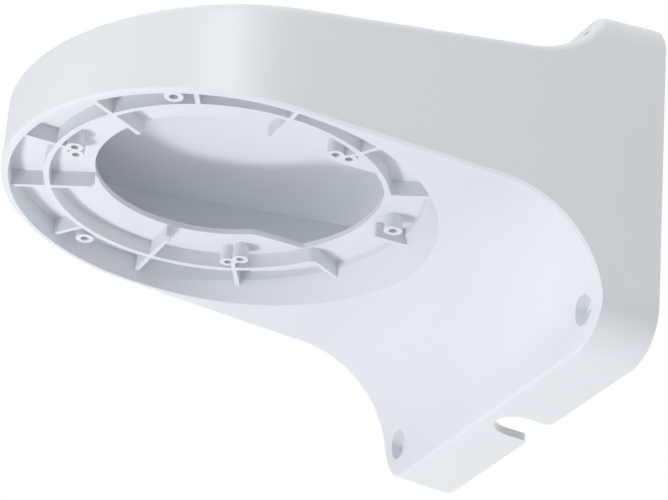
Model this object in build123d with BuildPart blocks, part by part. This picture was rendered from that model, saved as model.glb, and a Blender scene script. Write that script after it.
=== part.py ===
"""Camera wall bracket: one moulded piece, built in the bracket's own mounting frame.

The wall is the plane y = 0 and the arm reaches towards -Y. X runs along the wall and Z is up. The
origin is the centre of the four wall screws. The camera ring faces down, with its ribs, its screw
bosses and the cable opening in one plate.
"""
import math
import os

from build123d import *

os.makedirs("parts", exist_ok=True)

# Overall shape
arm_reach = 115.0
front_radius = 66.0
side_flare = 2.5
wall_thickness = 2.5
base_depth = 19.2
base_top = 57.0
base_bottom = -58.0
base_draft_drop = 0.9
base_top_corner_radius = 13.0
base_bottom_corner_radius = 15.5

# Wedge of the arm, heights taken over the ring centre
top_height = 24.7
top_slope = 0.14
rim_height = -10.8
rim_slope = 0.0433
top_sweep_start = 44.5
under_sweep_radius = 35.0
top_edge_radius = 3.0
under_edge_chamfer = 0.8

# Camera ring
rib_plane = -6.6
plate_lower = -1.55
plate_thickness = 1.8
recess_radius = 63.8
recess_lead_start = 63.0
recess_lead_shift = 6.2
recess_lead_radius = 64.2
recess_lead_top = -2.0
recess_lead_bottom = -17.0
middle_ring_inner = 51.5
middle_ring_outer = 53.2
rib_thickness = 1.4
rib_tip_chamfer = 1.5
rib_tip_gap = 0.3
wall_rib_start = 54.0
fence_corner_outside = 2.6
fence_corner_inside = 1.2

# Angles of the ribs, in degrees from the wall direction
end_rib_angle = 30.0
long_rib_angles = (90.0, -90.0, 150.0, -150.0)
short_rib_angles = (120.0, -120.0)
boss_rib_angles = (60.0, -60.0, 180.0)

# Cable opening in the plate
cable_hole_radius = 37.9
cable_slot_half_width = 28.6
cable_slot_radius = 51.2
cable_slot_neck_radius = 5.0
cable_slot_corner_radius = 1.5

# Camera screw bosses
single_boss_circle = 57.3
single_boss_angle = -6.8
single_boss_diameter = 5.8
single_boss_hole = 2.7
outer_pair_circle = 47.6
outer_pair_angle = 61.8
inner_pair_circle = 45.6
inner_pair_angle = 56.7
pair_boss_diameter = 5.2
pair_boss_hole = 2.4
boss_repeat = 3
boss_hole_floor = 0.9

# Wall screws
wall_screw_x = 60.0
wall_screw_z = 45.0
wall_screw_hole = 5.0
wall_screw_head = 9.5
wall_screw_floor = 16.0
wall_screw_boss = 13.0

# Cable slot in the bottom wall
slot_width = 14.5
slot_depth = 15.0
slot_mouth_radius = 2.0

# Construction allowances
reach_beyond = 20.0
embed = 0.6
along_arm_angle = 25.0

flare = math.radians(side_flare)
ring_y = -arm_reach
plate_upper = plate_lower + plate_thickness
body_height = base_top - base_bottom
body_width = 2 * front_radius
boss_height = plate_upper - rib_plane
full_turn = 360


def plan_face(beyond):
    """Plan of the body seen along Z: a round front with sides that spread towards the wall."""
    tangent_x = front_radius * math.cos(flare)
    tangent_y = ring_y - front_radius * math.sin(flare)
    wall_x = tangent_x + (beyond - tangent_y) * math.tan(flare)
    front = (0, ring_y - front_radius)
    with BuildSketch(Plane.XY) as sketch:
        with BuildLine():
            Polyline((-tangent_x, tangent_y), (-wall_x, beyond), (wall_x, beyond), (tangent_x, tangent_y))
            ThreePointArc((tangent_x, tangent_y), front, (-tangent_x, tangent_y))
        make_face()
    return sketch.sketch


def top_line(y):
    """Height of the arm's upper surface at a distance along the arm."""
    return top_height + top_slope * (y - ring_y)


def rim_line(y):
    """Height of the lower rim of the arm at a distance along the arm."""
    return rim_height - rim_slope * (y - ring_y)


def side_face(beyond):
    """Side view of the body: wedge arm, two concave sweeps and the tall wall base."""
    nose = ring_y - front_radius - reach_beyond
    base_front = -base_depth
    draft = base_draft_drop / base_depth
    sweep_from = (-top_sweep_start, top_line(-top_sweep_start))
    top_front = (base_front, base_top - base_draft_drop)
    with BuildSketch(Plane.YZ) as sketch:
        with BuildLine():
            Line((nose, top_line(nose)), sweep_from)
            TangentArc(sweep_from, top_front, tangent=(1, top_slope))
            Line(top_front, (beyond, base_top + draft * beyond))
            Line((beyond, base_top + draft * beyond), (beyond, base_bottom - draft * beyond))
            Line((beyond, base_bottom - draft * beyond), (base_front, base_bottom + base_draft_drop))
            Line((base_front, base_bottom + base_draft_drop), (base_front, rim_line(base_front)))
            Line((base_front, rim_line(base_front)), (nose, rim_line(nose)))
            Line((nose, rim_line(nose)), (nose, top_line(nose)))
        make_face()
        knee = sketch.vertices().sort_by_distance((0, base_front, rim_line(base_front)))[0]
        fillet(knee, radius=under_sweep_radius)
    return sketch.sketch


def long_corner_edges(part, upper, inset):
    """Edges between the base's top or bottom face and its two side walls."""
    level = base_top - inset if upper else base_bottom + inset
    mostly_along = math.cos(math.radians(along_arm_angle))
    found = []
    for edge in part.edges():
        middle = edge @ 0.5
        near_level = abs(middle.Z - level) < wall_thickness
        near_side = abs(middle.X) > front_radius
        if near_level and near_side and abs((edge % 0.5).Y) > mostly_along:
            found.append(edge)
    return found


def front_rim_edges(part, upper):
    """Front arc of the body's upper or lower edge; the rounding runs on from it round the whole chain."""
    level = top_line(ring_y - front_radius) if upper else rim_line(ring_y - front_radius)
    front = Vector(0, ring_y - front_radius, level)
    return part.edges().sort_by_distance(front)[:1]


def ring_point(radius, angle):
    """Point on the camera ring; the angle is taken from the wall direction towards -X."""
    turn = math.radians(angle)
    return (-radius * math.sin(turn), ring_y + radius * math.cos(turn))


def side_offset_angle(radius):
    """Angle round the ring, in degrees, that half a rib's thickness takes up at a radius."""
    return math.degrees(math.asin(rib_thickness / 2 / radius))


def rib(inner, outer, angle):
    """Draw one radial rib of the ring, a rectangle in plan, into the sketch being built."""
    x, y = ring_point((inner + outer) / 2, angle)
    with Locations(Location((x, y, 0), (0, 0, angle))):
        Rectangle(rib_thickness, outer - inner)


def round_corners(spots, corner_radius):
    """Round the corners of the sketch being built that lie nearest to the spots."""
    for spot in spots:
        corner = vertices().sort_by_distance((*spot, 0))[0]
        fillet(corner, radius=corner_radius)


def boss_circles(ring_radius, angle, diameter):
    """Draw circles at even turns round the ring into the sketch being built."""
    for copy in range(boss_repeat):
        with Locations(ring_point(ring_radius, angle + copy * full_turn / boss_repeat)):
            Circle(diameter / 2)


def wall_screw_circles(diameter):
    """Draw a circle at each wall screw into the sketch being built."""
    with GridLocations(2 * wall_screw_x, 2 * wall_screw_z, 2, 2):
        Circle(diameter / 2)


def recess_block(grow, top):
    """The recess under the arm as a solid, its wall leaning out towards the base, grown all round."""
    with BuildPart() as block:
        with Locations((0, ring_y, top)):
            Cylinder(
                recess_radius + grow,
                body_height,
                align=(Align.CENTER, Align.CENTER, Align.MAX),
            )
        with BuildSketch(Plane.XY.offset(recess_lead_top)):
            with Locations((0, ring_y)):
                Circle(recess_lead_start + grow)
        with BuildSketch(Plane.XY.offset(recess_lead_bottom)):
            with Locations((0, ring_y + recess_lead_shift)):
                Circle(recess_lead_radius + grow)
        loft()
    return block.part


# Outer body, closed and solid
with BuildPart() as side_block:
    extrude(to_extrude=side_face(0).face(), amount=body_width, both=True)

with BuildPart() as outer:
    extrude(to_extrude=plan_face(0).face(), amount=body_height, both=True)
    add(side_block.part, mode=Mode.INTERSECT)
    fillet(long_corner_edges(outer.part, True, 0), radius=base_top_corner_radius)
    fillet(long_corner_edges(outer.part, False, 0), radius=base_bottom_corner_radius)
    fillet(front_rim_edges(outer.part, True), radius=top_edge_radius)
    chamfer(front_rim_edges(outer.part, False), length=under_edge_chamfer)

# Hollow inside, open at the wall side
with BuildPart() as hollow_block:
    inner_side = offset(side_face(reach_beyond).face(), amount=-wall_thickness)
    extrude(to_extrude=inner_side.face(), amount=body_width, both=True)

with BuildPart() as hollow:
    inner_plan = offset(plan_face(reach_beyond).face(), amount=-wall_thickness)
    extrude(to_extrude=inner_plan.face(), amount=body_height, both=True)
    add(hollow_block.part, mode=Mode.INTERSECT)
    inner_top_radius = base_top_corner_radius - wall_thickness
    inner_bottom_radius = base_bottom_corner_radius - wall_thickness
    fillet(long_corner_edges(hollow.part, True, wall_thickness), radius=inner_top_radius)
    fillet(long_corner_edges(hollow.part, False, wall_thickness), radius=inner_bottom_radius)
    add(recess_block(wall_thickness, plate_upper), mode=Mode.SUBTRACT)

# Screw bosses behind the front face of the base, trimmed by the outer body
with BuildPart() as screw_posts:
    with BuildSketch(Plane.XZ):
        wall_screw_circles(wall_screw_boss)
    extrude(amount=top_sweep_start)
    add(outer.part, mode=Mode.INTERSECT)

# Fence under the plate: the middle ring, open towards the wall, and the radial ribs
with BuildSketch(Plane.XY.offset(rib_plane)) as fence_plan:
    with Locations((0, ring_y)):
        Circle(middle_ring_outer)
        Circle(middle_ring_inner, mode=Mode.SUBTRACT)
    gap_start = ring_y + rib_thickness / 2 / math.sin(math.radians(end_rib_angle))
    gap_x = recess_radius * math.tan(math.radians(end_rib_angle))
    gap_end = gap_start + recess_radius
    Polygon((0, gap_start), (gap_x, gap_end), (-gap_x, gap_end), align=None, mode=Mode.SUBTRACT)
    rib_end = recess_lead_radius + recess_lead_shift
    ring_middle = (middle_ring_inner + middle_ring_outer) / 2
    rib(wall_rib_start, rib_end, 0)
    for angle in (end_rib_angle, -end_rib_angle, *short_rib_angles):
        rib(ring_middle, rib_end, angle)
    for angle in long_rib_angles:
        rib(cable_hole_radius + rib_tip_gap, rib_end, angle)
    for angle in boss_rib_angles:
        rib(outer_pair_circle, rib_end, angle)
    outside_angle = end_rib_angle - side_offset_angle(middle_ring_inner)
    inside_angle = end_rib_angle + side_offset_angle(middle_ring_outer)
    outside = [ring_point(middle_ring_inner, angle) for angle in (outside_angle, -outside_angle)]
    inside = [ring_point(middle_ring_outer, angle) for angle in (inside_angle, -inside_angle)]
    round_corners(outside, fence_corner_outside)
    round_corners(inside, fence_corner_inside)

with BuildPart() as fence:
    extrude(to_extrude=fence_plan.sketch, amount=plate_lower + embed - rib_plane)
    add(recess_block(embed, plate_lower + embed), mode=Mode.INTERSECT)

with BuildPart() as bracket:
    add(outer.part)
    add(hollow.part, mode=Mode.SUBTRACT)
    add(screw_posts.part)
    add(recess_block(0, plate_lower), mode=Mode.SUBTRACT)
    add(fence.part)

    # Camera screw bosses under the plate, each with a blind hole that stops just short of its top
    with BuildSketch(Plane.XY.offset(rib_plane)):
        boss_circles(single_boss_circle, single_boss_angle, single_boss_diameter)
        boss_circles(outer_pair_circle, outer_pair_angle, pair_boss_diameter)
        boss_circles(inner_pair_circle, inner_pair_angle, pair_boss_diameter)
    extrude(amount=boss_height)
    with BuildSketch(Plane.XY.offset(rib_plane)):
        boss_circles(single_boss_circle, single_boss_angle, single_boss_hole)
        boss_circles(outer_pair_circle, outer_pair_angle, pair_boss_hole)
        boss_circles(inner_pair_circle, inner_pair_angle, pair_boss_hole)
    extrude(amount=boss_height - boss_hole_floor, mode=Mode.SUBTRACT)

    # Cable opening through the plate: a circle with a wide slot towards the wall
    with BuildSketch(Plane.XY.offset(plate_lower - embed)):
        with Locations((0, ring_y + cable_slot_radius / 2)):
            Rectangle(2 * cable_slot_half_width, cable_slot_radius)
        with Locations((0, ring_y)):
            Circle(cable_slot_radius, mode=Mode.INTERSECT)
            Circle(cable_hole_radius)
        neck_y = ring_y + math.sqrt(cable_hole_radius**2 - cable_slot_half_width**2)
        corner_y = ring_y + math.sqrt(cable_slot_radius**2 - cable_slot_half_width**2)
        sides = (cable_slot_half_width, -cable_slot_half_width)
        round_corners([(side, neck_y) for side in sides], cable_slot_neck_radius)
        round_corners([(side, corner_y) for side in sides], cable_slot_corner_radius)
    extrude(amount=plate_thickness + 2 * embed, mode=Mode.SUBTRACT)

    # Lower inner corners of the long ribs
    with Locations((0, ring_y, rib_plane - embed)):
        Cone(
            cable_hole_radius + rib_tip_chamfer + embed,
            cable_hole_radius,
            rib_tip_chamfer + embed,
            align=(Align.CENTER, Align.CENTER, Align.MIN),
            mode=Mode.SUBTRACT,
        )

    # Wall screws: a hole at the wall and a wide bore for the head from the front
    with BuildSketch(Plane.XZ):
        wall_screw_circles(wall_screw_hole)
    extrude(amount=base_depth, mode=Mode.SUBTRACT)
    with BuildSketch(Plane.XZ.offset(wall_screw_floor)):
        wall_screw_circles(wall_screw_head)
    extrude(amount=top_sweep_start, mode=Mode.SUBTRACT)

    # Cable slot in the bottom wall, open at the back
    with BuildSketch(Plane.XY.offset(base_bottom - embed)):
        slot_end = slot_width / 2
        with Locations((0, slot_end - slot_depth)):
            Circle(slot_end)
        with Locations((0, (slot_end - slot_depth + reach_beyond) / 2)):
            Rectangle(slot_width, slot_depth - slot_end + reach_beyond)
        with Locations((0, reach_beyond / 2)):
            Rectangle(2 * slot_width, reach_beyond)
        round_corners([(slot_end, 0), (-slot_end, 0)], slot_mouth_radius)
    extrude(amount=2 * wall_thickness, mode=Mode.SUBTRACT)

bracket.part.label = "wall_bracket"
export_step(bracket.part, "parts/wall_bracket.step")
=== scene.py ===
"""Dresses the moulded camera wall bracket and sets it in a plain pale studio.

The bracket itself is the fixed frame. This script gives it its moulded plastic finish, and adds the
floor, the lamps and the camera of the reference view. All sizes are in metres.
"""
from __future__ import annotations

import logging
import math
from dataclasses import dataclass
from enum import Enum

import bpy
import numpy as np
from mathutils import Matrix, Vector


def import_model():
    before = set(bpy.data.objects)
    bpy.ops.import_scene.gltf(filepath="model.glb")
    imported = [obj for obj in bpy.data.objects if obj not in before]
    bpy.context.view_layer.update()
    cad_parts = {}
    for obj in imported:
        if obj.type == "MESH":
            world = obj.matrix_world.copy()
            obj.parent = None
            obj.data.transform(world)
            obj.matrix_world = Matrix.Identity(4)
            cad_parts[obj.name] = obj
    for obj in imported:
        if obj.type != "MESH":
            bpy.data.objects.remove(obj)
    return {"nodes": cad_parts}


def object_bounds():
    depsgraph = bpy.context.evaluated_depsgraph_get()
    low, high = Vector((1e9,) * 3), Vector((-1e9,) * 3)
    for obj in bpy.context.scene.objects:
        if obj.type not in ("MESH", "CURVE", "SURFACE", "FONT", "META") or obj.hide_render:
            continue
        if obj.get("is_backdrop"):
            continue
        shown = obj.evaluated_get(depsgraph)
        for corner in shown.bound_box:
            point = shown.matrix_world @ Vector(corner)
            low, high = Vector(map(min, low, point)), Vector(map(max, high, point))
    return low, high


LOG = logging.getLogger("camera_wall_bracket")
SENSOR_WIDTH_MM = 36.0
REFERENCE_WIDTH_PX = 668
Colour = tuple[float, float, float]
WHITE: Colour = (1.0, 1.0, 1.0)


class SeenRay(Enum):
    """Rays that show a surface to the eye, straight, in a reflection or through something clear."""

    STRAIGHT = "Is Camera Ray"
    REFLECTED = "Is Glossy Ray"
    THROUGH = "Is Transmission Ray"


@dataclass(frozen=True)
class MouldedPlastic:
    """White moulded plastic: even colour, soft gloss and the fine grain of a textured mould."""

    name: str = "moulded_white_plastic"
    colour: Colour = (0.78, 0.808, 0.85)
    shade: float = 0.975
    roughness_low: float = 0.36
    roughness_high: float = 0.42
    refraction: float = 1.5
    gloss_level: float = 0.5
    flow_size: float = 0.045
    flow_detail: float = 3.0
    grain_size: float = 0.00045
    grain_detail: float = 2.0
    grain_depth: float = 0.000012

    def build(self) -> bpy.types.Material:
        """Make the material.

        Returns:
            A node material whose patterns lie on Object coordinates.
        """
        material = bpy.data.materials.new(self.name)
        material.use_nodes = True
        nodes, links = material.node_tree.nodes, material.node_tree.links
        shader = nodes["Principled BSDF"]
        shader.inputs["IOR"].default_value = self.refraction
        shader.inputs["Specular IOR Level"].default_value = self.gloss_level
        place = nodes.new("ShaderNodeTexCoord").outputs["Object"]
        flow = self.noise(nodes, links, place, self.flow_size, self.flow_detail)

        tint = nodes.new("ShaderNodeMix")
        tint.data_type = "RGBA"
        tint.inputs["A"].default_value = (*self.colour, 1.0)
        tint.inputs["B"].default_value = (*(channel * self.shade for channel in self.colour), 1.0)
        links.new(flow, tint.inputs["Factor"])
        links.new(tint.outputs["Result"], shader.inputs["Base Color"])

        gloss = nodes.new("ShaderNodeMapRange")
        gloss.inputs["To Min"].default_value = self.roughness_low
        gloss.inputs["To Max"].default_value = self.roughness_high
        links.new(flow, gloss.inputs["Value"])
        links.new(gloss.outputs["Result"], shader.inputs["Roughness"])

        bump = nodes.new("ShaderNodeBump")
        bump.inputs["Distance"].default_value = self.grain_depth
        grain = self.noise(nodes, links, place, self.grain_size, self.grain_detail)
        links.new(grain, bump.inputs["Height"])
        links.new(bump.outputs["Normal"], shader.inputs["Normal"])
        return material

    @staticmethod
    def noise(
        nodes: bpy.types.Nodes,
        links: bpy.types.NodeLinks,
        place: bpy.types.NodeSocket,
        size: float,
        detail: float,
    ) -> bpy.types.NodeSocket:
        """Add a noise pattern.

        Args:
            nodes: nodes of the material.
            links: links of the same tree.
            place: socket that gives the point on the bracket.
            size: width of one patch of the pattern.
            detail: how many finer layers the pattern has.

        Returns:
            A socket that gives the pattern's value, from 0 to 1.
        """
        pattern = nodes.new("ShaderNodeTexNoise")
        pattern.inputs["Scale"].default_value = 1.0 / size
        pattern.inputs["Detail"].default_value = detail
        links.new(place, pattern.inputs["Vector"])
        return pattern.outputs["Fac"]


@dataclass
class Bracket:
    """The moulded bracket, one piece that stays as the frame gives it."""

    node: bpy.types.Object
    finish: MouldedPlastic = MouldedPlastic()

    def dress(self) -> None:
        """Put the finish on the bracket's own material slot."""
        self.node.data.materials.clear()
        self.node.data.materials.append(self.finish.build())
        LOG.info("%s: %s", self.node.name, self.finish.name)


class LampUse(Enum):
    """What a lamp adds to the bracket: plain light, or only the soft sheen of its reflection."""

    LIGHT = "light"
    SHEEN = "sheen"


@dataclass(frozen=True)
class Lamp:
    """One soft round lamp that faces the middle of the bracket, size across and with power in watts."""

    name: str
    direction: tuple[float, float, float]
    size: float
    power: float
    distance: float = 1.1
    use: LampUse = LampUse.LIGHT

    def place(self, target: Vector) -> None:
        """Set the lamp up.

        Args:
            target: the point that the lamp faces.
        """
        light = bpy.data.lights.new(self.name, "AREA")
        light.shape = "DISK"
        light.size = self.size
        light.energy = self.power
        lamp = bpy.data.objects.new(self.name, light)
        way = Vector(self.direction).normalized()
        lamp.location = target + way * self.distance
        lamp.rotation_euler = way.to_track_quat("Z", "Y").to_euler()
        lamp.visible_camera = False
        lamp.visible_diffuse = self.use is LampUse.LIGHT
        lamp.visible_glossy = self.use is LampUse.SHEEN
        bpy.context.scene.collection.objects.link(lamp)
        LOG.info("lamp: %s, %s", self.name, self.use.value)


@dataclass(frozen=True)
class ReferenceCamera:
    """Camera of the reference view, which looks up at the camera ring from the right.

    The azimuth is the heading of the picture's right-hand side, counted from X. The elevation is how
    far the camera looks up, and the roll turns it about its line of sight.
    """

    azimuth_deg: float = 66.057
    elevation_deg: float = 27.040
    roll_deg: float = 4.573
    focal_px: float = 3069.59
    location: tuple[float, float, float] = (0.7718, -0.4172, -0.4461)
    far_clip: float = 50.0

    def place(self) -> None:
        """Set the camera up and make it the scene's own."""
        azimuth = math.radians(self.azimuth_deg)
        rise = math.radians(self.elevation_deg)
        roll = math.radians(self.roll_deg)
        level = Vector((math.cos(azimuth), math.sin(azimuth), 0.0))
        upright = Vector(
            (math.sin(azimuth) * math.sin(rise), -math.cos(azimuth) * math.sin(rise), math.cos(rise))
        )
        right = level * math.cos(roll) + upright * math.sin(roll)
        up = upright * math.cos(roll) - level * math.sin(roll)
        turn = Matrix((right, up, right.cross(up))).transposed().to_4x4()
        lens = bpy.data.cameras.new("reference_camera")
        lens.sensor_width = SENSOR_WIDTH_MM
        lens.lens = self.focal_px * SENSOR_WIDTH_MM / REFERENCE_WIDTH_PX
        lens.clip_end = self.far_clip
        camera = bpy.data.objects.new("reference_camera", lens)
        camera.matrix_world = Matrix.Translation(Vector(self.location)) @ turn
        bpy.context.scene.collection.objects.link(camera)
        bpy.context.scene.camera = camera
        LOG.info("camera: %s", camera.name)


@dataclass
class Studio:
    """Plain pale floor, white surroundings and soft lamps."""

    floor_drop: float = 0.69
    floor_half: float = 6.0
    floor_colour: Colour = (0.82, 0.82, 0.83)
    floor_roughness: float = 0.9
    floor_glow: float = 0.5
    ambient: float = 0.34
    lamps: tuple[Lamp, ...] = (
        Lamp("key_lamp_below", (-0.20, -0.60, -0.90), size=0.16, power=2.25, distance=0.68),
        Lamp("front_lamp", (0.73, -0.68, 0.10), size=0.7, power=4.3),
        Lamp("side_lamp", (0.90, -0.30, 0.45), size=0.8, power=1.0),
        Lamp("top_lamp", (0.20, -0.35, 0.90), size=0.8, power=3.6),
        Lamp("far_side_lamp", (-0.50, 0.80, -0.10), size=0.6, power=3.3),
        Lamp("low_back_lamp", (0.10, 0.90, -0.35), size=0.6, power=2.0),
        Lamp("back_lamp", (0.00, 1.00, -0.12), size=0.5, power=2.8),
        Lamp("sheen_lamp", (0.80, -0.38, 0.46), size=0.4, power=3.6, use=LampUse.SHEEN),
    )

    def build(self, lowest: Vector, highest: Vector) -> None:
        """Make the floor, the surroundings and the lamps.

        Args:
            lowest: lowest corner of the bracket's box.
            highest: highest corner of the bracket's box.
        """
        self.floor(lowest.z - self.floor_drop)
        self.surroundings()
        for lamp in self.lamps:
            lamp.place((lowest + highest) / 2)

    def floor(self, level: float) -> None:
        """Make the floor, one level square well under the bracket: its corners are (+-half, +-half).

        Args:
            level: height of the floor.
        """
        corners = self.floor_half * np.array([(-1, -1), (1, -1), (1, 1), (-1, 1)], float)
        points = np.column_stack((corners, np.full(len(corners), level)))
        mesh = bpy.data.meshes.new("studio_floor")
        mesh.from_pydata(points.tolist(), [], [tuple(range(len(corners)))])
        mesh.materials.append(self.floor_material())
        floor = bpy.data.objects.new("studio_floor", mesh)
        bpy.context.scene.collection.objects.link(floor)
        floor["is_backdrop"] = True
        LOG.info("floor: %s", floor.name)

    def floor_material(self) -> bpy.types.Material:
        """Make the floor's matt finish, which takes shadows and is clear when seen from below.

        Returns:
            A material that adds a steady pale glow for the rays that show it to the eye.
        """
        material = bpy.data.materials.new("studio_floor")
        material.use_nodes = True
        nodes, links = material.node_tree.nodes, material.node_tree.links
        shader = nodes["Principled BSDF"]
        shader.inputs["Base Color"].default_value = (*self.floor_colour, 1.0)
        shader.inputs["Roughness"].default_value = self.floor_roughness
        shader.inputs["Emission Color"].default_value = (*WHITE, 1.0)
        glow = self.blend(nodes, links, unseen=0.0, seen=self.floor_glow)
        links.new(glow, shader.inputs["Emission Strength"])
        clear = nodes.new("ShaderNodeBsdfTransparent")
        side = nodes.new("ShaderNodeNewGeometry")
        mix = nodes.new("ShaderNodeMixShader")
        facing_below, from_above, from_below = mix.inputs
        links.new(side.outputs["Backfacing"], facing_below)
        links.new(shader.outputs["BSDF"], from_above)
        links.new(clear.outputs["BSDF"], from_below)
        links.new(mix.outputs["Shader"], nodes["Material Output"].inputs["Surface"])
        return material

    def surroundings(self) -> None:
        """Make the world: white to the eye, and an even soft light on the bracket."""
        world = bpy.data.worlds.new("studio_world")
        bpy.context.scene.world = world
        world.use_nodes = True
        nodes, links = world.node_tree.nodes, world.node_tree.links
        background = nodes["Background"]
        background.inputs["Color"].default_value = (*WHITE, 1.0)
        strength = self.blend(nodes, links, unseen=self.ambient, seen=1.0)
        links.new(strength, background.inputs["Strength"])

    @staticmethod
    def blend(
        nodes: bpy.types.Nodes, links: bpy.types.NodeLinks, unseen: float, seen: float
    ) -> bpy.types.NodeSocket:
        """Add a value that differs between the rays that light the bracket and those that are seen.

        Args:
            nodes: nodes of the material or world.
            links: links of the same tree.
            unseen: value for the rays that only carry light.
            seen: value for the rays that show the surface to the eye.

        Returns:
            A socket that gives the value.
        """
        path = nodes.new("ShaderNodeLightPath")
        choice = nodes.new("ShaderNodeMapRange")
        choice.inputs["To Min"].default_value = unseen
        choice.inputs["To Max"].default_value = seen
        straight, *others = (path.outputs[ray.value] for ray in SeenRay)
        reached = straight
        for ray in others:
            either = nodes.new("ShaderNodeMath")
            either.operation = "MAXIMUM"
            links.new(reached, either.inputs[0])
            links.new(ray, either.inputs[1])
            reached = either.outputs["Value"]
        links.new(reached, choice.inputs["Value"])
        return choice.outputs["Result"]


def main() -> None:
    """Dress the frame's one piece, then build the studio and the camera round it."""
    logging.basicConfig(level=logging.INFO, format="%(name)s: %(message)s")
    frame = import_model()
    cad_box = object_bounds()
    Bracket(frame["nodes"]["wall_bracket"]).dress()
    Studio().build(*(Vector(corner) for corner in cad_box))
    ReferenceCamera().place()
    bpy.context.scene.view_settings.view_transform = "Standard"
    LOG.info("sizes written")


if __name__ == "__main__":
    main()
